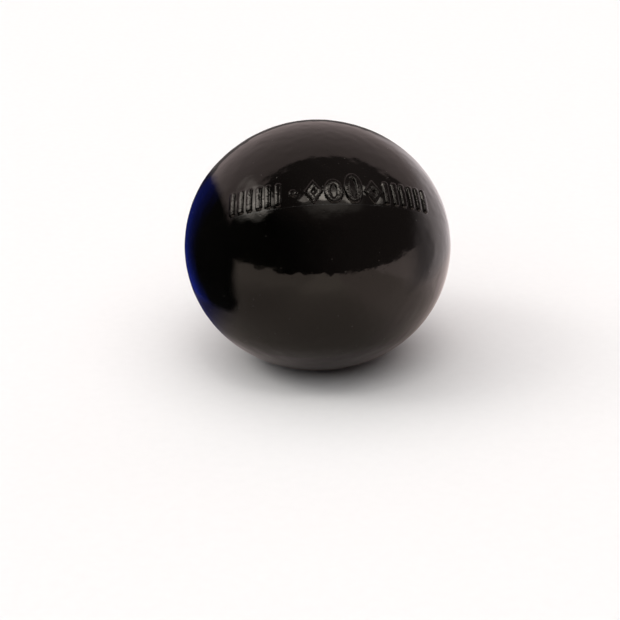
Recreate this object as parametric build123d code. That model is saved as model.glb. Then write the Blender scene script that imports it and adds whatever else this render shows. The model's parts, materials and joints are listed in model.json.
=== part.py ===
from build123d import *

import math
import os

# Case opening friction ball: a soft, tacky, air-filled ball, pressed on a screwed watch back to turn it.
# The ball lies on a bench. It is flattened a little under its own weight, with a small flat where it rests.
# Millimetres. +Z is up, and the origin is the centre of the flat that the ball rests on.
# The mould axis, which runs through the valve, leans back towards +Y. The mould frame has its origin at
# the middle of the ball and its Z axis along the mould axis.

# Outside shape: a body of revolution about Z, made of tangent arcs and the flat it rests on.
WIDTH = 65.0
HEIGHT = 59.2
MIDDLE_Z = 28.6  # height of the widest section
CROWN_JOIN = math.radians(45)  # where the side arc meets the crown arc
LOWER_OFFSET = 3.4  # distance of the lower side arc's centre from the Z axis
FOOT_BLEND_R = 14.0  # radius between the lower side and the flat

# Wall and the bonded lap between the two half shells.
WALL = 5.0
FILM = 0.15  # cured cement
LAP = 3.0  # height of the lower shell's lip above the seam
MOULD_LEAN = 39.0  # degrees between the mould axis and +Z

# Raised band: a row of plain marks across the front of the upper shell, just above the seam.
BAND_LATITUDE = 6.2
BAND_TURN = 2.8  # degrees from the front, -Y, round to the middle of the row
MARK_PITCH = 8.6  # degrees
MARKS = "bbbdloOlbbb"  # b two bars, d dot, l lozenge, o ring, O tall ring
MARK_HEIGHT = 6.0
TALL_HEIGHT = 7.6
MARK_WIDTH = 4.2
BAR_SPACING = 2.45
STROKE = 1.35
BAR_END_R = 0.49 * STROKE
DOT_R = 0.85
RELIEF = 0.5
MARK_ROOT = 1.5  # depth inside the wall from which a mark is extruded

# Valve at the upper pole. Depths run from the skin inwards along the mould axis.
DIMPLE_R = 5.0
DIMPLE_DEPTH = 0.9
STEM_R = 3.6
PAD_R = 9.5
PAD_DEPTH = 7.2
FLANGE_R = 7.8
FLANGE_THICKNESS = 1.8
SLEEVE_LENGTH = 3.0
NEEDLE_R = 1.0
LEAD_R = 1.9
LEAD_DEPTH = 0.9
GUIDE_LENGTH = 3.0
INSERT_R = 2.2
INSERT_LENGTH = 6.2
LIP_R = 1.3

RADIUS = WIDTH / 2
CROWN = HEIGHT - MIDDLE_Z
UPPER_OFFSET = (RADIUS - CROWN) / (1 - 1 / math.cos(CROWN_JOIN) + math.tan(CROWN_JOIN))
UPPER_R = RADIUS - UPPER_OFFSET
CROWN_R = UPPER_R + UPPER_OFFSET / math.cos(CROWN_JOIN)
CROWN_DROP = UPPER_OFFSET * math.tan(CROWN_JOIN)  # crown centre below the middle
LOWER_R = RADIUS - LOWER_OFFSET
FOOT_R = LOWER_OFFSET + math.sqrt((LOWER_R - FOOT_BLEND_R) ** 2 - (MIDDLE_Z - FOOT_BLEND_R) ** 2)
FOOT_JOIN = math.atan2(MIDDLE_Z - FOOT_BLEND_R, FOOT_R - LOWER_OFFSET)

REACH = 3 * WIDTH  # longer than the whole ball
MARGIN = 1.0  # how far a cutting solid runs past the surface it cuts
MIDDLE = Vector(0, 0, MIDDLE_Z)
LEAN = math.radians(MOULD_LEAN)
MOULD = Plane(origin=MIDDLE, x_dir=(1, 0, 0), z_dir=(0, math.sin(LEAN), math.cos(LEAN)))


def ball_body(inset):
    """The solid inside the surface that lies `inset` under the skin."""
    low, high = math.degrees(-FOOT_JOIN), math.degrees(CROWN_JOIN)
    outline = [
        Line((0, inset), (FOOT_R, inset)),
        CenterArc((FOOT_R, FOOT_BLEND_R), FOOT_BLEND_R - inset, -90, low + 90),
        CenterArc((LOWER_OFFSET, MIDDLE_Z), LOWER_R - inset, low, -low),
        CenterArc((UPPER_OFFSET, MIDDLE_Z), UPPER_R - inset, 0, high),
        CenterArc((0, MIDDLE_Z - CROWN_DROP), CROWN_R - inset, high, 90 - high),
        Line((0, HEIGHT - inset), (0, inset)),
    ]
    return revolve(Plane.XZ * make_face(outline), Axis.Z)


def skin_distance(direction):
    """Distance from the middle of the ball to the skin, along a unit vector above the foot blend."""
    across, up = math.hypot(direction.X, direction.Y), direction.Z
    crown_edge = UPPER_R * math.sin(CROWN_JOIN)
    if up > 0 and up / across > crown_edge / (UPPER_OFFSET + UPPER_R * math.cos(CROWN_JOIN)):
        centre, radius = (0, -CROWN_DROP), CROWN_R
    elif up > 0:
        centre, radius = (UPPER_OFFSET, 0), UPPER_R
    else:
        centre, radius = (LOWER_OFFSET, 0), LOWER_R
    along = across * centre[0] + up * centre[1]
    return along + math.sqrt(along**2 + radius**2 - centre[0] ** 2 - centre[1] ** 2)


def mould_slab(low, high):
    """Everything between two heights along the mould axis."""
    return MOULD * Pos(0, 0, (low + high) / 2) * Cylinder(REACH / 2, high - low)


def half_shells():
    """The two bare half shells and the cement in the stepped lap between them."""
    cavity = ball_body(WALL)
    shell = ball_body(0) - cavity
    lap_seat = ball_body((WALL - FILM) / 2)
    lip_body = ball_body((WALL + FILM) / 2)
    upper = shell & mould_slab(FILM, REACH)
    upper -= lap_seat & mould_slab(-FILM, LAP + FILM)
    lower = shell & mould_slab(-REACH, 0)
    lower += (lip_body - cavity) & mould_slab(-FILM, LAP)
    cement = (shell & mould_slab(0, LAP + FILM)) - upper - lower
    return upper, lower, cement


def mark_outline(kind):
    """Flat outline of one plain mark of the raised band."""
    wide, high = MARK_WIDTH / 2, MARK_HEIGHT / 2
    if kind == "b":
        bar = RectangleRounded(STROKE, MARK_HEIGHT, BAR_END_R)
        return [Pos(-BAR_SPACING / 2, 0) * bar, Pos(BAR_SPACING / 2, 0) * bar]
    if kind == "o":
        return [Ellipse(wide, high) - Ellipse(wide - STROKE, high - STROKE)]
    if kind == "O":
        tall = TALL_HEIGHT / 2
        return [Pos(0, tall - high) * (Ellipse(wide, tall) - Ellipse(wide - STROKE, tall - STROKE))]
    if kind == "l":
        lozenge = Polygon((-wide, 0), (0, -high), (wide, 0), (0, high), align=None)
        share = 1 - STROKE * math.hypot(wide, high) / (wide * high)
        return [lozenge - scale(lozenge, share)]
    return [Circle(DOT_R)]


def raised_marks():
    """All marks of the band, each cut to the relief's height and rooted in the wall."""
    raised = ball_body(-RELIEF)
    latitude = math.radians(BAND_LATITUDE)
    marks = []
    for i, kind in enumerate(MARKS):
        longitude = math.radians(BAND_TURN - 90 + (i - (len(MARKS) - 1) / 2) * MARK_PITCH)
        across = math.cos(latitude)
        local = Vector(across * math.cos(longitude), across * math.sin(longitude), math.sin(latitude))
        outward = MOULD.from_local_coords(local) - MIDDLE
        east = MOULD.x_dir * -math.sin(longitude) + MOULD.y_dir * math.cos(longitude)
        place = Plane(MIDDLE + outward * skin_distance(outward), x_dir=east, z_dir=outward)
        for outline in mark_outline(kind):
            prism = extrude(Pos(0, 0, -MARK_ROOT) * outline, MARK_ROOT + RELIEF + MARGIN)
            marks.append((place * prism) & raised)
    return marks


def pole():
    """Frame on the skin at the upper pole, with Z outwards along the mould axis."""
    return MOULD * Pos(0, 0, skin_distance(MOULD.z_dir))


def post(radius, top, bottom):
    """A cylinder on the mould axis between two depths under the skin."""
    return pole() * Pos(0, 0, -(top + bottom) / 2) * Cylinder(radius, bottom - top)


def funnel(top_radius, bottom_radius, top, bottom):
    """A cone on the mould axis that narrows inwards between two depths under the skin."""
    return pole() * Pos(0, 0, -(top + bottom) / 2) * Cone(bottom_radius, top_radius, bottom - top)


def valve_seat(upper):
    """Adds the valve's pad inside the upper shell, and its stem hole and outer dimple."""
    pad = post(PAD_R, WALL / 2, PAD_DEPTH)
    hole = post(STEM_R, -MARGIN, PAD_DEPTH + MARGIN)
    slope = (DIMPLE_R - STEM_R) / DIMPLE_DEPTH
    dimple = funnel(DIMPLE_R + slope * MARGIN, STEM_R, -MARGIN, DIMPLE_DEPTH)
    return upper + pad - hole - dimple


def valve():
    """Flanged valve body, the self-sealing insert inside it and the cement under its flange."""
    flange_top = PAD_DEPTH + FILM
    flange_bottom = flange_top + FLANGE_THICKNESS
    guide_top = DIMPLE_DEPTH + LEAD_DEPTH
    insert_top = guide_top + GUIDE_LENGTH
    insert_bottom = insert_top + INSERT_LENGTH
    body = post(STEM_R, DIMPLE_DEPTH, flange_bottom + SLEEVE_LENGTH)
    body += post(FLANGE_R, flange_top, flange_bottom)
    body -= funnel(LEAD_R, NEEDLE_R, DIMPLE_DEPTH, guide_top)
    body -= post(NEEDLE_R, guide_top, insert_top)
    body -= post(INSERT_R, insert_top, insert_bottom)
    body -= post(LIP_R, insert_bottom, flange_bottom + SLEEVE_LENGTH + MARGIN)
    insert = post(INSERT_R, insert_top, insert_bottom)
    cement = post(FLANGE_R, PAD_DEPTH, flange_top) - post(STEM_R, PAD_DEPTH, flange_top)
    return body, insert, cement


def main():
    upper, lower, seam_cement = half_shells()
    upper = valve_seat(upper)
    upper = upper.fuse(*raised_marks())
    valve_body, valve_insert, valve_cement = valve()
    nodes = {
        "upper_shell": upper,
        "lower_shell": lower,
        "seam_cement": seam_cement,
        "valve_body": valve_body,
        "valve_insert": valve_insert,
        "valve_cement": valve_cement,
    }
    os.makedirs("parts", exist_ok=True)
    for name, shape in nodes.items():
        export_step(shape, f"parts/{name}.step")
    guide_middle = DIMPLE_DEPTH + LEAD_DEPTH + GUIDE_LENGTH / 2
    port = MIDDLE + MOULD.z_dir * (skin_distance(MOULD.z_dir) - guide_middle)
    print("flat radius", round(FOOT_R, 2), "needle port", port, "axis", MOULD.z_dir)


main()
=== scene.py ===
import json
import math

import bmesh
import bpy
import numpy as np
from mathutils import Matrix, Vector


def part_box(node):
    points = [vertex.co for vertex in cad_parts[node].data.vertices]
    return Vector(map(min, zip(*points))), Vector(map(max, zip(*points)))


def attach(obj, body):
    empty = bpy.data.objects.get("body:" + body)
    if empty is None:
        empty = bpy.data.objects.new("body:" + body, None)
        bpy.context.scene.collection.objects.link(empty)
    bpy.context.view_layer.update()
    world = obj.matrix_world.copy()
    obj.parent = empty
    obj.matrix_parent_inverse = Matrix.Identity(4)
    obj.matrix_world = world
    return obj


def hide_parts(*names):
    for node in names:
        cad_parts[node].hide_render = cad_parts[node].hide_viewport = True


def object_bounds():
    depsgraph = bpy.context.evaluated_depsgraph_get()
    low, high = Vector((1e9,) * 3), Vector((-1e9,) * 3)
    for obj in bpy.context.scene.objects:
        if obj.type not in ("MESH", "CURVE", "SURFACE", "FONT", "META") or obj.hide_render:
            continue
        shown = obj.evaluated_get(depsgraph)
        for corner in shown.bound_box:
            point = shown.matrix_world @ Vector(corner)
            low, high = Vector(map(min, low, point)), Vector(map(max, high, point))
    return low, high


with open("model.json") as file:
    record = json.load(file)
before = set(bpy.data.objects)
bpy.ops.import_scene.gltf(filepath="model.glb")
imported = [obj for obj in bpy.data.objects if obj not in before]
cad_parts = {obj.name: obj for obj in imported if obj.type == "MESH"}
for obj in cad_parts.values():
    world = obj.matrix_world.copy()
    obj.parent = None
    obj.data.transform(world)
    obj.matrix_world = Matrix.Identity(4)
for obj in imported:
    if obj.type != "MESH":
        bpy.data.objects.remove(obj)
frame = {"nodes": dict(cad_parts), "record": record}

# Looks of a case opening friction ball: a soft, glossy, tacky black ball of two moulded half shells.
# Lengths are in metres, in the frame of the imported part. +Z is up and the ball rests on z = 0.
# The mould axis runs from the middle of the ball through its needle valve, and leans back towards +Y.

MM = 0.001
TINY = 1e-6  # keeps a division away from zero
cad_low, cad_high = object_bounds()

# What the frame gives: the size, the valve's axis and, where that axis meets the Z axis, the middle.
needle_port = next(m for m in frame["record"]["mounts"] if m["name"] == "needle_port")
MOULD_X = np.array([1.0, 0.0, 0.0])
MOULD_Z = np.array(needle_port["axis"])
MOULD_Y = np.cross(MOULD_Z, MOULD_X)
PORT = np.array(needle_port["pos_m"])
MIDDLE = PORT - MOULD_Z * PORT[1] / MOULD_Z[1]
MIDDLE_Z = MIDDLE[2]
RADIUS = (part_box("lower_shell")[1].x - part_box("lower_shell")[0].x) / 2
HEIGHT = cad_high.z

# Outside shape: tangent arcs round the Z axis, as in the CAD model.
CROWN_JOIN = math.radians(45)
LOWER_OFFSET = 3.4 * MM
FOOT_BLEND_R = 14.0 * MM
CROWN = HEIGHT - MIDDLE_Z
UPPER_OFFSET = (RADIUS - CROWN) / (1 - 1 / math.cos(CROWN_JOIN) + math.tan(CROWN_JOIN))
UPPER_R = RADIUS - UPPER_OFFSET
LOWER_R = RADIUS - LOWER_OFFSET
FOOT_RISE = MIDDLE_Z - FOOT_BLEND_R
FOOT_R = LOWER_OFFSET + math.sqrt((LOWER_R - FOOT_BLEND_R) ** 2 - FOOT_RISE**2)
FOOT_JOIN = math.atan2(FOOT_RISE, FOOT_R - LOWER_OFFSET)
ARCS = [  # centre across, centre up from the middle, radius, start angle; from the foot upwards
    (FOOT_R, -FOOT_RISE, FOOT_BLEND_R, -math.pi / 2),
    (LOWER_OFFSET, 0.0, LOWER_R, -FOOT_JOIN),
    (UPPER_OFFSET, 0.0, UPPER_R, 0.0),
    (0.0, -UPPER_OFFSET * math.tan(CROWN_JOIN), UPPER_R + UPPER_OFFSET / math.cos(CROWN_JOIN), CROWN_JOIN),
]

# Wall and the stepped lap between the half shells.
WALL = 5.0 * MM
FILM = 0.15 * MM
LAP = 3.0 * MM
LAP_ROW = 0.4 * MM  # from the lap's face up to the inner wall's first ring
LIP_CHAMFER = 0.15 * MM
LIP_ROW = 0.3 * MM  # from a corner of the lip to the next ring
LIP_SEAT = 1.2 * MM  # from the skin to the first ring of the seat beside the lip
LIP_SEAT_STEP = 0.7 * MM

# Slight unevenness of the soft skin: seed, shortest and longest wave, and size. It is flush at the foot and
# at the seam, and comes up beyond them.
UNEVEN = [
    (11, 2.0 * MM, 6.0 * MM, 0.011 * MM),
    (12, 14.0 * MM, 30.0 * MM, 0.02 * MM),
]
FLUSH_AT_FOOT = 0.3 * MM
FLUSH_AT_SEAM = 0.2 * MM
FLUSH_RUN = 2.0 * MM

# Raised band: a row of plain marks across the front.
BAND_LATITUDE = math.radians(6.2)
BAND_TOP = 8.7 * MM
BAND_TURN = math.radians(2.8)
MARK_PITCH = math.radians(8.6)
MARKS = "bbbdloOlbbb"  # b two bars, d dot, l lozenge, o ring, O tall ring
MARK_HEIGHT = 6.0 * MM
TALL_HEIGHT = 7.6 * MM
MARK_WIDTH = 4.2 * MM
BAR_SPACING = 2.45 * MM
STROKE = 1.35 * MM
DOT_R = 0.85 * MM
RELIEF = 0.5 * MM
FOOT = 0.12 * MM  # how far a mark's side spreads at its foot
SHOULDER = 0.28 * MM  # run of a mark's rounded side from the skin to its top
DOME = 0.1  # share of a mark's height that is in its softly domed top

# Valve. Depths run inwards from the skin along the mould axis.
DIMPLE = [  # radius and depth of the softly rounded dimple in millimetres, from its edge to the stem hole
    (5.2, 0.42),
    (4.95, 0.50),
    (4.7, 0.60),
    (4.3, 0.72),
    (3.95, 0.84),
    (3.75, 0.92),
    (3.62, 1.06),
]
DIMPLE_EDGE_R = 5.6 * MM  # the last ring of the ball's own skin
DIMPLE_DEPTH = 0.9 * MM
STEM_R = 3.6 * MM
STEM_GAP = 0.02 * MM  # between the stem and its hole
STEM_TOP = 1.3 * MM  # depth at which the hole's straight side starts
STEM_CHAMFER = 0.2 * MM
PAD_R = 9.5 * MM
PAD_DEPTH = 7.2 * MM
PAD_CHAMFER = 0.3 * MM
PAD_FOOT = 0.3 * MM  # how far the pad's side stops short of the inner wall, for a softened corner
PAD_FOOT_TURN = 0.02  # and how far the wall stops short of the pad, in radians
FLANGE_R = 7.8 * MM
FLANGE_TOP = PAD_DEPTH + FILM
FLANGE_BOTTOM = FLANGE_TOP + 1.8 * MM
SLEEVE_BOTTOM = FLANGE_BOTTOM + 3.0 * MM
NEEDLE_R = 1.0 * MM
LEAD_R = 1.9 * MM
GUIDE_TOP = DIMPLE_DEPTH + 0.9 * MM
INSERT_TOP = GUIDE_TOP + 3.0 * MM
INSERT_BOTTOM = INSERT_TOP + 6.2 * MM
INSERT_R = 2.2 * MM
INSERT_LIP_R = 1.3 * MM

# The camera's place round the ball, in degrees. Azimuths of the staging are counted from it.
VIEW_AZIMUTH = -5.6
VIEW_ELEVATION = 22.0

# Soft lights in the studio: azimuth, elevation, half width and soft edge in degrees, and strength. The first
# five are a window on the left, the next three a faint glow over the front, and the rest a row of lamps.
LIGHTS = [
    (-75, 49, 6, 5, 3.2),
    (-90, 42, 9, 6, 3.2),
    (-88, 35, 7, 6, 0.5),
    (-72, 40, 6, 5, 0.65),
    (-110, 41, 5, 4, 0.7),
    (4, 67, 8, 8, 0.3),
    (28, 68, 8, 8, 0.34),
    (52, 63, 8, 8, 0.3),
    (-27, 68.5, 2, 2, 2.2),
    (-12, 75, 3, 2.5, 7),
    (14, 73.5, 3, 2.5, 5.5),
    (38, 70, 2.5, 2, 3.5),
    (58, 63, 2.5, 2, 3.5),
    (86, 47, 2.5, 2, 3),
    (88, 58, 2, 2, 3),
]

# Two pale walls behind the ball, and how strongly they glow.
WALL_AZIMUTHS = (-174, -157)
WALL_GLOW = 0.62

# Cards that only reflections see: the azimuths of their ends. Near the floor their colours run further along,
# by this share of a card's length, below this height in millimetres.
DARK_CARD = (-45, -160)
WHITE_CARD = (60, 165)
LOW_SHIFT = 0.09
LOW_HEIGHT = 27.0

# Painted light and shade on the floor, which only reflections see, laid over each other in this order:
# painted shade on the left, painted light on the right and behind it on the right, a blue painted shadow of
# the dark card,
# and painted shade behind. Columns: the side that a tint lies on, the distances that way, in millimetres,
# between which it comes up, how strong it gets, the distances from the middle between which it fades again,
# if it does, and its colour.
FLOOR_PAINTED_LIGHT_AND_SHADE = [
    (-90, 10, 50, 0.2, None, (0.0, 0.0, 0.0)),
    (105, 5, 40, 1.0, None, (0.68, 0.60, 0.57)),
    (135, 33, 58, 1.0, None, (0.95, 0.84, 0.83)),
    (-130, 10, 36, 1.0, (46, 62), (0.045, 0.045, 0.14)),
    (-170, 30, 110, 1.0, None, (0.12, 0.11, 0.11)),
]

# Mesh density: points round a ring, and distances between rings.
BAND_COUNT = 1024
SKIN_COUNT = 256
INNER_COUNT = 128
VALVE_COUNT = 96
POLE_COUNT = 8
FRONT_DENSITY = 0.45  # how much closer the points stand at the front than half way round
ROW_STEP = 0.6 * MM
BAND_STEP = 0.125 * MM
HIDDEN_STEP = 1.0 * MM
INNER_STEP = 1.2 * MM
FAN_STEP = 2.4 * MM
SPARSE_ABOVE = math.radians(62)  # latitude round the valve above which a ring has fewer points
SHARP_ANGLE = math.radians(50)


def directions(longitude, latitude):
    """Unit vectors at angles in the mould's frame, given as arrays."""
    across = np.cos(latitude)
    x = across * np.cos(longitude)
    y = across * np.sin(longitude)
    z = np.sin(latitude) + 0 * longitude
    return x[..., None] * MOULD_X + y[..., None] * MOULD_Y + z[..., None] * MOULD_Z


def skin(direction, inset=0.0):
    """Distances from the middle, along unit vectors, to the surface that lies inset under the skin."""
    across = np.hypot(direction[..., 0], direction[..., 1])
    up = direction[..., 2]
    distance = (MIDDLE_Z - inset) / np.maximum(-up, TINY)
    for centre_across, centre_up, radius, start in ARCS:
        reach = radius - inset
        join = math.atan2(centre_up + reach * math.sin(start), centre_across + reach * math.cos(start))
        along = across * centre_across + up * centre_up
        inside = along**2 + reach**2 - centre_across**2 - centre_up**2
        distance = np.where(np.arctan2(up, across) >= join, along + np.sqrt(np.maximum(inside, 0)), distance)
    return distance


def longitudes(count):
    """Angles of a ring's points, the first of them at the front, where they stand closer together."""
    even = np.arange(count) * 2 * math.pi / count
    return even - FRONT_DENSITY * np.sin(even) - math.pi / 2


def smooth_step(t):
    """0 below 0, 1 above 1 and a smooth rise between."""
    t = np.clip(t, 0, 1)
    return t * t * (3 - 2 * t)


def ellipse_distance(u, v, wide, high):
    """Rough signed distance to an ellipse, negative inside."""
    q = np.maximum(np.hypot(u / wide, v / high), TINY)
    return (q - 1) * q / np.maximum(np.hypot(u / wide**2, v / high**2), TINY)


def mark_distance(kind, u, v):
    """Signed distance to a mark's outline, negative inside. u is to its right and v is up."""
    wide, high = MARK_WIDTH / 2, MARK_HEIGHT / 2
    beyond = np.maximum(np.abs(v) - high + STROKE / 2, 0)
    if kind == "b":
        return np.hypot(np.abs(u) - BAR_SPACING / 2, beyond) - STROKE / 2
    if kind in "oO":
        tall = TALL_HEIGHT / 2 if kind == "O" else high
        up = v - tall + high
        inner = ellipse_distance(u, up, wide - STROKE, tall - STROKE)
        return np.maximum(ellipse_distance(u, up, wide, tall), -inner)
    if kind == "l":
        outer = (np.abs(u) / wide + np.abs(v) / high - 1) * wide * high / math.hypot(wide, high)
        return np.maximum(outer, -outer - STROKE)
    return np.hypot(u, v) - DOT_R


def mark_relief(longitude, points):
    """Height of the raised marks above the skin at points on it."""
    height = np.zeros(len(points))
    for i, kind in enumerate(MARKS):
        turn = np.array(BAND_TURN - math.pi / 2 + (i - (len(MARKS) - 1) / 2) * MARK_PITCH)
        away = (longitude - turn + math.pi) % (2 * math.pi) - math.pi
        here = np.abs(away) <= MARK_PITCH / 2
        outward = directions(turn, BAND_LATITUDE)
        east = MOULD_Y * math.cos(turn) - MOULD_X * math.sin(turn)
        local = points[here] - MIDDLE - outward * skin(outward)
        distance = mark_distance(kind, local @ east, local @ np.cross(outward, east))
        side = np.sqrt(1 - (1 - np.clip((FOOT - distance) / SHOULDER, 0, 1)) ** 2)
        top = smooth_step(-2 * distance / STROKE)
        height[here] = RELIEF * ((1 - DOME) * side + DOME * top)
    return height


def undulation(points, seed, shortest, longest, size, waves=48):
    """Smooth, seeded unevenness: plane waves summed over random directions."""
    rng = np.random.default_rng(seed)
    total = np.zeros(len(points))
    for _ in range(waves):
        heading = rng.normal(size=3)
        heading /= np.linalg.norm(heading)
        turns = 2 * math.pi / rng.uniform(shortest, longest)
        total += np.sin(points @ heading * turns + rng.uniform(0, 2 * math.pi))
    return total * size * math.sqrt(2 / waves)


def moulded(points, direction):
    """Skin points moved by the slight unevenness of soft rubber, which is flush at its foot and its seam."""
    uneven = sum(undulation(points, *waves) for waves in UNEVEN)
    from_seam = np.abs((points - MIDDLE) @ MOULD_Z)
    freedom = smooth_step((points[:, 2] - FLUSH_AT_FOOT) / FLUSH_RUN)
    freedom *= smooth_step((from_seam - FLUSH_AT_SEAM) / FLUSH_RUN)
    return points + direction * (uneven * freedom)[:, None]


def skin_ring(latitude, count):
    """Outer skin at one latitude, with its marks and its slight unevenness."""
    longitude = longitudes(count)
    direction = directions(longitude, np.full(count, latitude))
    points = MIDDLE + direction * skin(direction)[:, None]
    if 0 < latitude < BAND_TOP / RADIUS:
        points = points + direction * mark_relief(longitude, points)[:, None]
    return moulded(points, direction)


def height_ring(height, inset, count):
    """A level ring of the surface inset under the skin, at one height along the mould axis."""
    longitude = longitudes(count)
    latitude = np.full(count, height / RADIUS)
    for _ in range(4):  # each pass comes nearer to the latitude that gives the height
        latitude = np.arcsin(height / skin(directions(longitude, latitude), inset))
    direction = directions(longitude, latitude)
    return MIDDLE + direction * skin(direction, inset)[:, None]


def inner_ring(latitude, count):
    """The air chamber's wall at one latitude."""
    direction = directions(longitudes(count), np.full(count, latitude))
    return MIDDLE + direction * skin(direction, WALL)[:, None]


def post_ring(radius, depth, count):
    """A ring round the mould axis at a depth under the skin."""
    turn = longitudes(count)
    pole = MIDDLE + MOULD_Z * (skin(MOULD_Z) - depth)
    return pole + radius * (np.cos(turn)[:, None] * MOULD_X + np.sin(turn)[:, None] * MOULD_Y)


def faces_between(low, low_count, high, high_count):
    """Faces between two rings whose first points are numbered low and high. One may have twice the points."""
    if low_count == 1:
        return [(low, high + (j + 1) % high_count, high + j) for j in range(high_count)]
    if high_count == 1:
        return [(high, low + j, low + (j + 1) % low_count) for j in range(low_count)]
    faces = []
    for j in range(min(low_count, high_count)):
        if low_count == high_count:
            k = (j + 1) % low_count
            faces.append((low + j, low + k, high + k, high + j))
        elif low_count > high_count:
            a, b, c = low + 2 * j, low + 2 * j + 1, low + (2 * j + 2) % low_count
            d, e = high + j, high + (j + 1) % high_count
            faces += [(a, b, d), (b, e, d), (b, c, e)]
        else:
            a, b, c = high + 2 * j, high + 2 * j + 1, high + (2 * j + 2) % high_count
            d, e = low + j, low + (j + 1) % low_count
            faces += [(a, d, b), (b, d, e), (b, e, c)]
    return faces


def loft(name, rings, loop):
    """A smooth mesh object through rings of points. A loop's last ring joins its first."""
    starts = np.cumsum([0] + [len(ring) for ring in rings])
    faces = []
    for i in range(len(rings) - (0 if loop else 1)):
        j = (i + 1) % len(rings)
        faces += faces_between(int(starts[i]), len(rings[i]), int(starts[j]), len(rings[j]))
    mesh = bpy.data.meshes.new(name)
    mesh.from_pydata(np.concatenate(rings).tolist(), [], faces)
    solid = bmesh.new()
    solid.from_mesh(mesh)
    bmesh.ops.recalc_face_normals(solid, faces=solid.faces)
    solid.to_mesh(mesh)
    solid.free()
    mesh.shade_smooth()
    mesh.set_sharp_from_angle(angle=SHARP_ANGLE)
    piece = bpy.data.objects.new(name, mesh)
    bpy.context.scene.collection.objects.link(piece)
    return piece


def steps(start, stop, step):
    """Evenly spaced values from start to stop, about step apart."""
    return np.linspace(start, stop, max(2, round(abs(stop - start) / step) + 1))


def seam_ring(height, count):
    """The skin's own edge at the seam."""
    points = height_ring(height, 0.0, count)
    direction = (points - MIDDLE) / np.linalg.norm(points - MIDDLE, axis=1)[:, None]
    return moulded(points, direction)


def halvings(count, last):
    """Counts from half of count down to last, each half the one before."""
    counts = []
    while count > last:
        count //= 2
        counts.append(count)
    return counts


def upper_edge(seat):
    """Rings of the lap's face and of the edge above the seam, from the lap's step at depth seat outwards."""
    rings = [height_ring(LAP + FILM, seat, INNER_COUNT), height_ring(FILM, seat, INNER_COUNT)]
    counts = halvings(BAND_COUNT, INNER_COUNT)[::-1][1:]
    for count, inset in zip(counts, np.linspace(seat, 0.0, len(counts) + 2)[1:]):
        rings.append(height_ring(FILM, inset, count))
    return rings


def upper_skin():
    """Rings of the skin from the seam, through the raised band, to the dimple."""
    rings = [seam_ring(FILM, BAND_COUNT)]
    latitude = BAND_TOP / RADIUS
    for row in steps((FILM + BAND_STEP) / RADIUS, latitude, BAND_STEP / RADIUS):
        rings.append(skin_ring(row, BAND_COUNT))
    for count in halvings(BAND_COUNT, SKIN_COUNT):
        for _ in range(2):
            latitude += ROW_STEP / 2 / RADIUS
            rings.append(skin_ring(latitude, count))
    for row in steps(latitude, SPARSE_ABOVE, ROW_STEP / RADIUS)[1:]:
        rings.append(skin_ring(row, SKIN_COUNT))
    rim = math.acos(DIMPLE_EDGE_R / skin(MOULD_Z))
    for row in steps(SPARSE_ABOVE, rim, ROW_STEP / RADIUS)[1:]:
        rings.append(skin_ring(row, INNER_COUNT))
    return rings


def valve_seat():
    """Rings of the softly rounded dimple, the stem hole and the pad inside."""
    rings = [post_ring(radius * MM, depth * MM, INNER_COUNT) for radius, depth in DIMPLE]
    for depth in steps(STEM_TOP, PAD_DEPTH - STEM_CHAMFER, ROW_STEP):
        rings.append(post_ring(STEM_R, depth, INNER_COUNT))
    for radius in steps(STEM_R + STEM_CHAMFER, PAD_R - PAD_CHAMFER, HIDDEN_STEP):
        rings.append(post_ring(radius, PAD_DEPTH, INNER_COUNT))
    return rings


def upper_inside():
    """Rings of the pad's side and the inner wall down to the lap."""
    wall_latitude = math.acos(PAD_R / skin(MOULD_Z, WALL))
    wall_height = skin(directions(np.array(0.0), wall_latitude), WALL) * math.sin(wall_latitude)
    pad_foot = skin(MOULD_Z) - wall_height + PAD_FOOT
    rings = []
    for depth in steps(PAD_DEPTH - PAD_CHAMFER, pad_foot, HIDDEN_STEP):
        rings.append(post_ring(PAD_R, depth, INNER_COUNT))
    lap_latitude = (LAP + FILM + LAP_ROW) / (RADIUS - WALL)
    for row in steps(wall_latitude - PAD_FOOT_TURN, lap_latitude, INNER_STEP / RADIUS):
        rings.append(inner_ring(row, INNER_COUNT))
    rings.append(height_ring(LAP + FILM, WALL, INNER_COUNT))
    return rings


def note_marks(piece):
    """Store at each point how far up a raised mark it is, from 0 on the skin to 1, for the material."""
    points = np.array([vertex.co[:] for vertex in piece.data.vertices]) - MIDDLE
    reach = np.linalg.norm(points, axis=1)
    raised = np.clip((reach - skin(points / reach[:, None])) / RELIEF, 0, 1)
    piece.data.attributes.new("raised", "FLOAT", "POINT").data.foreach_set("value", raised)


def upper_half():
    """Upper half shell: lap step, raised band, crown, valve dimple and hole, pad and inner wall."""
    rings = upper_edge((WALL - FILM) / 2) + upper_skin() + valve_seat() + upper_inside()
    piece = loft("ball_upper_half", rings, loop=True)
    note_marks(piece)
    return piece


def pole_point(inset):
    """The lower pole of the surface that lies inset under the skin, as a ring of one point."""
    return MIDDLE + directions(np.array([0.0]), np.array([-math.pi / 2])) * skin(-MOULD_Z, inset)


def lower_skin():
    """Rings of the skin from the lower pole up to the seam."""
    rings = [pole_point(0.0)]
    latitude = -math.pi / 2
    for count in halvings(SKIN_COUNT, POLE_COUNT)[::-1]:
        for _ in range(4 if count > POLE_COUNT else 1):
            latitude += ROW_STEP / RADIUS
            rings.append(skin_ring(latitude, count))
    for row in steps(latitude, 0.0, ROW_STEP / RADIUS)[1:-1]:
        rings.append(skin_ring(row, SKIN_COUNT))
    rings.append(seam_ring(0.0, SKIN_COUNT))
    return rings


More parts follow.
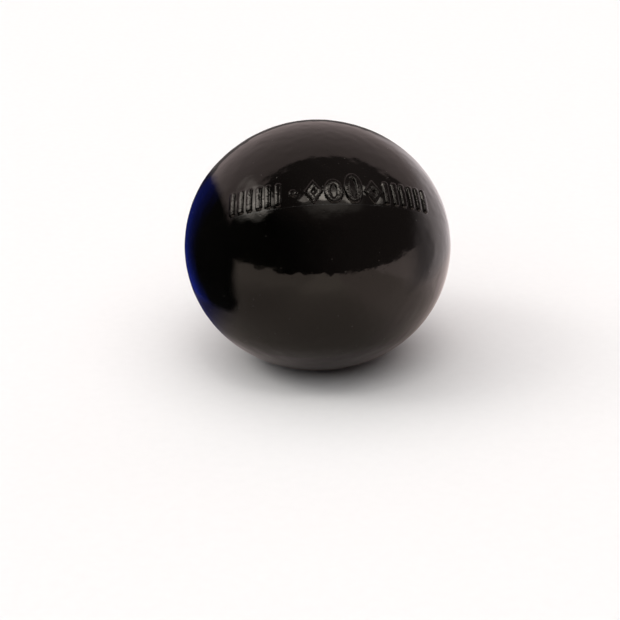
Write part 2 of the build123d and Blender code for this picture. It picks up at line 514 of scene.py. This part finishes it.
def lower_lip():
    """Rings of the seat beside the lap's lip, then of the lip, over its top and down its inside."""
    lip = (WALL + FILM) / 2
    rings = [height_ring(0.0, inset, INNER_COUNT) for inset in steps(LIP_SEAT, lip, LIP_SEAT_STEP)]
    for height in steps(LIP_ROW, LAP - LIP_CHAMFER, HIDDEN_STEP):
        rings.append(height_ring(height, lip, INNER_COUNT))
    for inset in steps(lip + LIP_CHAMFER, WALL, HIDDEN_STEP):
        rings.append(height_ring(LAP, inset, INNER_COUNT))
    for height in steps(LAP - LIP_ROW, 0.0, HIDDEN_STEP):
        rings.append(height_ring(height, WALL, INNER_COUNT))
    return rings


def lower_inside():
    """Rings of the inner wall from the seam's height down to its pole."""
    counts = halvings(INNER_COUNT, POLE_COUNT)
    latitude = -math.pi / 2 + (len(counts) + 1) * FAN_STEP / RADIUS
    rings = []
    for row in steps(-HIDDEN_STEP / RADIUS, latitude, INNER_STEP / RADIUS):
        rings.append(inner_ring(row, INNER_COUNT))
    for count in counts:
        latitude -= FAN_STEP / RADIUS
        rings.append(inner_ring(latitude, count))
    rings.append(pole_point(WALL))
    return rings


def lower_half():
    """Lower half shell: the outer skin from its pole up to the seam, the lip and the inner wall."""
    return loft("ball_lower_half", lower_skin() + lower_lip() + lower_inside(), loop=False)


def rounded_profile(corners):
    """Points of a closed outline whose corners, given as (radius, depth, rounding), are rounded."""
    outline = []
    for i, (radius, depth, rounding) in enumerate(corners):
        here = np.array([radius, depth])
        before = np.array(corners[i - 1][:2]) - here
        after = np.array(corners[(i + 1) % len(corners)][:2]) - here
        start = here + before / np.linalg.norm(before) * rounding
        end = here + after / np.linalg.norm(after) * rounding
        for t in (0, 0.25, 0.5, 0.75, 1):
            outline.append((1 - t) ** 2 * start + 2 * t * (1 - t) * here + t * t * end)
    return outline


def valve_mesh():
    """Flanged valve body with a lead-in for the needle and a cavity for its insert."""
    soft, fine = 0.25 * MM, 0.1 * MM
    corners = [
        (LEAD_R, DIMPLE_DEPTH, soft),
        (STEM_R - STEM_GAP, DIMPLE_DEPTH, soft),
        (STEM_R - STEM_GAP, FLANGE_TOP, fine),
        (FLANGE_R, FLANGE_TOP, soft),
        (FLANGE_R, FLANGE_BOTTOM, soft),
        (STEM_R, FLANGE_BOTTOM, soft),
        (STEM_R, SLEEVE_BOTTOM, soft),
        (INSERT_LIP_R, SLEEVE_BOTTOM, fine),
        (INSERT_LIP_R, INSERT_BOTTOM, fine),
        (INSERT_R, INSERT_BOTTOM, fine),
        (INSERT_R, INSERT_TOP, fine),
        (NEEDLE_R, INSERT_TOP, fine),
        (NEEDLE_R, GUIDE_TOP, soft),
    ]
    rings = [post_ring(radius, depth, VALVE_COUNT) for radius, depth in rounded_profile(corners)]
    return loft("needle_valve", rings, loop=True)


def new_material(name):
    """A node material and its tree, which is empty."""
    material = bpy.data.materials.new(name)
    material.use_nodes = True
    tree = material.node_tree
    tree.nodes.clear()
    return material, tree


def feed(tree, socket, value):
    """Give an input a value, or a link from another node's output."""
    if isinstance(value, bpy.types.NodeSocket):
        tree.links.new(value, socket)
    else:
        socket.default_value = value


def add(tree, kind, inputs=None, **settings):
    """A new node with its settings, and with each input fed."""
    node = tree.nodes.new("ShaderNode" + kind)
    for name, value in settings.items():
        setattr(node, name, value)
    for key, value in (inputs or {}).items():
        feed(tree, node.inputs[key], value)
    return node


def noise(tree, place, scale, detail=2.0, roughness=0.5):
    """A noise pattern's value, with features about 1 / scale metres across."""
    inputs = {"Vector": place, "Scale": scale, "Detail": detail, "Roughness": roughness}
    return add(tree, "TexNoise", inputs).outputs["Fac"]


def spread(tree, value, low, high, to_low, to_high):
    """value carried smoothly from the range low to high into the range to_low to to_high."""
    inputs = {"Value": value, "From Min": low, "From Max": high, "To Min": to_low, "To Max": to_high}
    return add(tree, "MapRange", inputs, interpolation_type="SMOOTHSTEP").outputs["Result"]


def math_node(tree, operation, a, b):
    """The result of one operation on two values."""
    return add(tree, "Math", {0: a, 1: b}, operation=operation).outputs[0]


def scaled(tree, value, factor):
    """value times factor."""
    return math_node(tree, "MULTIPLY", value, factor)


def plus(tree, *values):
    """The sum of several values."""
    total = values[0]
    for value in values[1:]:
        total = math_node(tree, "ADD", total, value)
    return total


def blend_colour(tree, share, a, b):
    """Colour a, going over to colour b with share."""
    node = add(tree, "Mix", data_type="RGBA")
    feed(tree, node.inputs[0], share)
    for socket, colour in ((node.inputs[6], a), (node.inputs[7], b)):  # a Mix node's colour inputs
        feed(tree, socket, (*colour, 1.0) if isinstance(colour, tuple) else colour)
    return node.outputs[2]


def specks(tree, place, scale, share, size):
    """1 on a few scattered specks and 0 elsewhere. share is how many of the cells have one."""
    cells = add(tree, "TexVoronoi", {"Vector": place, "Scale": scale}, feature="F1")
    near = spread(tree, cells.outputs["Distance"], size, size * 0.4, 0.0, 1.0)
    split = add(tree, "SeparateColor", {"Color": cells.outputs["Color"]})
    chosen = math_node(tree, "LESS_THAN", split.outputs[0], share)
    return math_node(tree, "MULTIPLY", near, chosen)


def attribute(tree, name):
    """A value that is stored at a mesh's points."""
    return add(tree, "Attribute", attribute_name=name).outputs["Fac"]


def finish_surface(tree, tone, rough, relief, depth, more):
    """The tree's surface: its colour, its roughness, fine relief of a depth, and more inputs."""
    bump = add(tree, "Bump", {"Height": relief, "Strength": 1.0, "Distance": depth})
    inputs = {"Base Color": tone, "Roughness": rough, "Normal": bump.outputs["Normal"], **more}
    shader = add(tree, "BsdfPrincipled", inputs)
    add(tree, "OutputMaterial", {"Surface": shader.outputs[0]})


def skin_roughness(tree, place, handled, dust, raised):
    """Roughness of the skin: duller where it is handled, on dust and on the raised marks."""
    patches = spread(tree, handled, 0.35, 0.68, 0.055, 0.11)
    grain = spread(tree, noise(tree, place, 2600.0, 2.0), 0.3, 0.7, -0.01, 0.015)
    return plus(tree, patches, grain, scaled(tree, dust, 0.35), scaled(tree, raised, 0.05))


def skin_relief(tree, place, dust, raised):
    """Fine relief of the skin: a peel with tiny pits, dust that stands on it, and worn tops of the marks."""
    peel = noise(tree, place, 480.0, 3.0, 0.55)
    pits = specks(tree, place, 900.0, 0.2, 0.2)
    worn = math_node(tree, "MULTIPLY", raised, noise(tree, place, 1100.0, 2.0))
    pitted = math_node(tree, "SUBTRACT", peel, scaled(tree, pits, 0.35))
    return plus(tree, pitted, scaled(tree, dust, 0.8), scaled(tree, worn, 3.5))


def glossy_rubber():
    """Tacky black rubber: a fine peel, tiny pits, handled patches and a little caught dust."""
    material, tree = new_material("glossy black rubber")
    place = add(tree, "TexCoord").outputs["Object"]
    handled = noise(tree, place, 70.0, 3.0, 0.55)
    dust = specks(tree, place, 620.0, 0.22, 0.13)
    raised = attribute(tree, "raised")
    patches = spread(tree, handled, 0.3, 0.7, 0.0, 1.0)
    tone = blend_colour(tree, patches, (0.0006, 0.0006, 0.0005), (0.0012, 0.0011, 0.0009))
    tone = blend_colour(tree, dust, tone, (0.011, 0.011, 0.010))
    rough = skin_roughness(tree, place, handled, dust, raised)
    relief = skin_relief(tree, place, dust, raised)
    more = {"IOR": 1.46, "Specular Tint": (1.0, 0.94, 0.88, 1.0)}
    finish_surface(tree, tone, rough, relief, 0.028 * MM, more)
    return material


def cured_cement():
    """Cement squeezed out at a joint: dark, uneven and a little duller than the skin."""
    material, tree = new_material("cured cement")
    place = add(tree, "TexCoord").outputs["Object"]
    lumps = noise(tree, place, 900.0, 3.0)
    tone = blend_colour(tree, lumps, (0.002, 0.0018, 0.0015), (0.005, 0.0045, 0.004))
    rough = spread(tree, lumps, 0.3, 0.7, 0.1, 0.2)
    finish_surface(tree, tone, rough, lumps, 0.015 * MM, {})
    return material


def valve_rubber():
    """Firmer satin black rubber with a fine moulded grain and a faint bloom."""
    material, tree = new_material("valve rubber")
    place = add(tree, "TexCoord").outputs["Object"]
    grain = noise(tree, place, 3200.0, 4.0, 0.6)
    bloom = noise(tree, place, 500.0, 3.0)
    patches = spread(tree, bloom, 0.35, 0.75, 0.0, 1.0)
    tone = blend_colour(tree, patches, (0.010, 0.010, 0.0098), (0.024, 0.023, 0.022))
    rough = spread(tree, bloom, 0.3, 0.7, 0.38, 0.55)
    finish_surface(tree, tone, rough, grain, 0.02 * MM, {})
    return material


def gum_rubber():
    """Soft tan gum of the self-sealing insert."""
    material, tree = new_material("gum rubber")
    place = add(tree, "TexCoord").outputs["Object"]
    cloud = noise(tree, place, 700.0, 4.0, 0.6)
    tone = blend_colour(tree, cloud, (0.24, 0.12, 0.045), (0.42, 0.25, 0.11))
    rough = spread(tree, cloud, 0.3, 0.7, 0.5, 0.7)
    finish_surface(tree, tone, rough, cloud, 0.03 * MM, {"Subsurface Weight": 0.15})
    return material


def dress(piece, material):
    """piece gets material as its only one."""
    piece.data.materials.clear()
    piece.data.materials.append(material)


def place_piece(piece, material, node):
    """A new piece stands for a CAD node, which it hides, and rides on the ball."""
    dress(piece, material)
    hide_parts(node)
    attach(piece, "root")


def toward(azimuth, elevation):
    """Unit vector towards a place round the ball. Azimuth 0 is the camera's side, and 90 is to its right."""
    turn = math.radians(azimuth + VIEW_AZIMUTH)
    rise = math.radians(elevation)
    return Vector((math.sin(turn) * math.cos(rise), -math.cos(turn) * math.cos(rise), math.sin(rise)))


def facing(tree, direction, azimuth, elevation=0):
    """How far a place or a direction reaches towards an azimuth and elevation round the ball."""
    inputs = {0: direction, 1: tuple(toward(azimuth, elevation))}
    return add(tree, "VectorMath", inputs, operation="DOT_PRODUCT").outputs["Value"]


def mirrored_floor_painted_light_and_shade(tree, place):
    """The floor's colour in reflections, with painted light and shade: a painted shadow of the ball round it,
    painted light by the ball's foot, and painted light and shade on each side.
    """
    away = add(tree, "VectorMath", {0: place}, operation="LENGTH").outputs["Value"]
    # Painted shadow of the ball: the floor that it mirrors is darker near it and paler far off.
    distant = spread(tree, away, 25 * MM, 200 * MM, 0.0, 1.0)
    colour = blend_colour(tree, distant, (0.42, 0.38, 0.35), (0.76, 0.70, 0.64))
    # Painted light by the ball's foot: paler where the ball meets the floor.
    foot_painted_light = spread(tree, away, 20 * MM, 31 * MM, 1.0, 0.0)
    colour = blend_colour(tree, foot_painted_light, colour, (0.85, 0.78, 0.77))
    # Painted light and shade on each side, laid over in turn.
    for azimuth, near, far, strength, fade, tint in FLOOR_PAINTED_LIGHT_AND_SHADE:
        share = spread(tree, facing(tree, place, azimuth), near * MM, far * MM, 0.0, strength)
        if fade:
            remaining = spread(tree, away, fade[0] * MM, fade[1] * MM, 1.0, 0.0)
            share = math_node(tree, "MULTIPLY", share, remaining)
        colour = blend_colour(tree, share, colour, tint)
    return colour


def floor():
    """Pale matt table top, far larger than the view."""
    bpy.ops.mesh.primitive_circle_add(vertices=128, radius=40.0, fill_type="NGON")
    ground = bpy.context.object
    ground.name = "floor"
    material, tree = new_material("pale floor")
    place = add(tree, "TexCoord").outputs["Object"]
    fleck = noise(tree, place, 400.0, 4.0)
    tone = blend_colour(tree, fleck, (0.80, 0.81, 0.82), (0.83, 0.84, 0.85))
    # Reflections see the floor with painted light and shade. The camera sees it plain.
    mirrored = add(tree, "LightPath").outputs["Is Glossy Ray"]
    tone = blend_colour(tree, mirrored, tone, mirrored_floor_painted_light_and_shade(tree, place))
    shader = add(tree, "BsdfDiffuse", {"Color": tone})
    add(tree, "OutputMaterial", {"Surface": shader.outputs[0]})
    dress(ground, material)


def soft_light(tree, direction, azimuth, elevation, half_width, edge, strength):
    """A round soft light in the studio, given by its half width and its soft edge in degrees."""
    near = facing(tree, direction, azimuth, elevation)
    inner = math.cos(math.radians(half_width - edge))
    outer = math.cos(math.radians(half_width + edge))
    return spread(tree, near, outer, inner, 0.0, strength)


def room_glow(tree, direction):
    """Glow of the room: stronger to the right and overhead, with pale walls behind."""
    up = add(tree, "SeparateXYZ", {"Vector": direction}).outputs["Z"]
    at_right = spread(tree, facing(tree, direction, 90), -0.7, 0.8, 0.0, 0.13)
    overhead = spread(tree, up, 0.62, 0.93, 0.0, 0.08)
    glow = plus(tree, at_right, overhead)
    for azimuth in WALL_AZIMUTHS:
        wall = spread(tree, facing(tree, direction, azimuth), 0.34, 0.42, 0.0, WALL_GLOW)
        glow = math_node(tree, "MAXIMUM", glow, wall)
    return glow


def studio():
    """Surroundings: the room and its soft lights. The camera itself sees a plain pale backdrop instead."""
    world = bpy.data.worlds.new("studio")
    bpy.context.scene.world = world
    world.use_nodes = True
    tree = world.node_tree
    tree.nodes.clear()
    direction = add(tree, "TexCoord").outputs["Generated"]
    light = plus(tree, *[soft_light(tree, direction, *row) for row in LIGHTS])
    seen = add(tree, "LightPath").outputs["Is Camera Ray"]
    room = {"Color": (1.0, 0.82, 0.8, 1.0), "Strength": room_glow(tree, direction)}
    walls = add(tree, "Background", room)
    lamps = add(tree, "Background", {"Color": (1.0, 0.97, 0.92, 1.0), "Strength": light})
    lit = add(tree, "AddShader", {0: walls.outputs[0], 1: lamps.outputs[0]})
    pale = add(tree, "Background", {"Color": (1.0, 0.98, 0.964, 1.0), "Strength": 1.0})
    both = add(tree, "MixShader", {0: seen, 1: lit.outputs[0], 2: pale.outputs[0]})
    add(tree, "OutputWorld", {"Surface": both.outputs[0]})


def card_mesh(name, radius, turns, low_edge, high_edge, soft, low_soft):
    """Upright curved sheet round the ball. Its points hold how solid it is, how far along and how low.

    turns are its first and last azimuth, and low_edge and high_edge give its heights in millimetres at an
    azimuth. Its outline fades over soft millimetres, and over low_soft along its low edge.
    """
    columns, rows = 60, 24
    points, cover, share, near_floor = [], [], [], []
    for i, azimuth in enumerate(np.linspace(turns[0], turns[1], columns + 1)):
        side = toward(azimuth, 0) * radius
        low, high = low_edge(azimuth), high_edge(azimuth)
        from_end = math.radians(min(abs(azimuth - turns[0]), abs(azimuth - turns[1]))) * radius / MM
        for height in np.linspace(low, high, rows + 1):
            points.append((side.x, side.y, height * MM))
            inside = min(from_end / soft, (high - height) / soft, (height - low) / low_soft)
            cover.append(float(smooth_step(inside)))
            near_floor.append(max(0.0, 1 - height / LOW_HEIGHT))
            share.append(i / columns + LOW_SHIFT * near_floor[-1])
    step = rows + 1
    corners = [i * step + j for i in range(columns) for j in range(rows)]
    faces = [(k, k + step, k + step + 1, k + 1) for k in corners]
    mesh = bpy.data.meshes.new(name)
    mesh.from_pydata(points, [], faces)
    for label, values in (("cover", cover), ("share", share), ("near_floor", near_floor)):
        mesh.attributes.new(label, "FLOAT", "POINT").data.foreach_set("value", values)
    return mesh


def card(mesh, stops, low_glow):
    """A card that is seen only as a reflection in the ball.

    stops are its colours by share of its length, and its glow at the floor is low_glow times as strong.
    """
    piece = bpy.data.objects.new(mesh.name, mesh)
    bpy.context.scene.collection.objects.link(piece)
    material, tree = new_material(mesh.name)
    along = attribute(tree, "share")
    colour = stops[0][1]
    for (start, _), (stop, later) in zip(stops, stops[1:]):
        colour = blend_colour(tree, spread(tree, along, start, stop, 0.0, 1.0), colour, later)
    strength = spread(tree, attribute(tree, "near_floor"), 0.0, 1.0, 1.0, low_glow)
    shine = add(tree, "Emission", {"Color": colour, "Strength": strength})
    clear = add(tree, "BsdfTransparent")
    cover = attribute(tree, "cover")
    both = add(tree, "MixShader", {0: cover, 1: clear.outputs[0], 2: shine.outputs[0]})
    add(tree, "OutputMaterial", {"Surface": both.outputs[0]})
    dress(piece, material)
    for ray in ("camera", "diffuse", "shadow", "transmission"):
        setattr(piece, "visible_" + ray, False)


def dark_card():
    """A dark card close by on the left, black towards the front, then blue, and dusky behind."""

    def low_edge(azimuth):
        return 16 * (1 - min((DARK_CARD[0] - azimuth) / 22, 1)) ** 2

    def high_edge(azimuth):
        return 59 - 0.0082 * (azimuth + 90) ** 2

    black = (0.007, 0.007, 0.008)
    blue = (0.014, 0.022, 0.2)
    dusk = (0.016, 0.014, 0.04)
    mesh = card_mesh("dark_card", 46 * MM, DARK_CARD, low_edge, high_edge, 5, 4)
    card(mesh, [(0.34, black), (0.57, blue), (0.62, blue), (0.74, dusk)], 2.1)


def white_card():
    """A bright card on the right, which rises and whitens towards the back."""

    def low_edge(azimuth):
        return 0.0

    def high_edge(azimuth):
        return min(36 + 1.4 * (azimuth - 62), 72)

    grey = (0.40, 0.35, 0.36)
    pale = (0.52, 0.46, 0.47)
    white = (1.12, 1.0, 1.01)
    mesh = card_mesh("white_card", 70 * MM, WHITE_CARD, low_edge, high_edge, 26, 16)
    card(mesh, [(0.1, grey), (0.26, pale), (0.39, white)], 1.0)


def sky_light():
    """Broad soft light from above, which lights the floor and stays out of the ball's reflections."""
    data = bpy.data.lights.new("overhead", "SUN")
    data.energy = 2.4
    data.angle = math.radians(100)
    data.color = (1.0, 0.99, 0.98)
    lamp = bpy.data.objects.new("overhead", data)
    lamp.rotation_mode = "QUATERNION"
    lamp.rotation_quaternion = toward(-40, 74).to_track_quat("Z", "Y")
    lamp.visible_glossy = False
    bpy.context.scene.collection.objects.link(lamp)


def camera():
    """Long lens at the view's height and distance, aimed so that the ball sits above the frame's centre."""
    lens = 0.1
    sensor = 0.036
    frame_width = 0.1521  # across the picture, at the ball's distance
    right_of_centre = 0.0018
    above_centre = 0.0158
    back = toward(0, VIEW_ELEVATION)
    right = toward(90, 0)
    up = back.cross(right)
    middle = Vector(MIDDLE)
    data = bpy.data.cameras.new("camera")
    data.lens = lens / MM
    data.sensor_width = sensor / MM
    data.clip_start = 0.01
    data.clip_end = 100.0
    view = bpy.data.objects.new("camera", data)
    view.location = middle + back * (frame_width * lens / sensor)
    aim = middle - right * right_of_centre - up * above_centre
    view.rotation_mode = "QUATERNION"
    view.rotation_quaternion = (aim - view.location).to_track_quat("-Z", "Y")
    bpy.context.scene.collection.objects.link(view)
    bpy.context.scene.camera = view


def main():
    """The staging, then the ball's pieces and the materials of the CAD nodes that stay."""
    camera()
    studio()
    sky_light()
    dark_card()
    white_card()
    floor()
    rubber = glossy_rubber()
    cement = cured_cement()
    place_piece(upper_half(), rubber, "upper_shell")
    place_piece(lower_half(), rubber, "lower_shell")
    place_piece(valve_mesh(), valve_rubber(), "valve_body")
    dress(frame["nodes"]["seam_cement"], cement)
    dress(frame["nodes"]["valve_cement"], cement)
    dress(frame["nodes"]["valve_insert"], gum_rubber())
    bpy.context.scene.view_settings.view_transform = "Standard"


main()
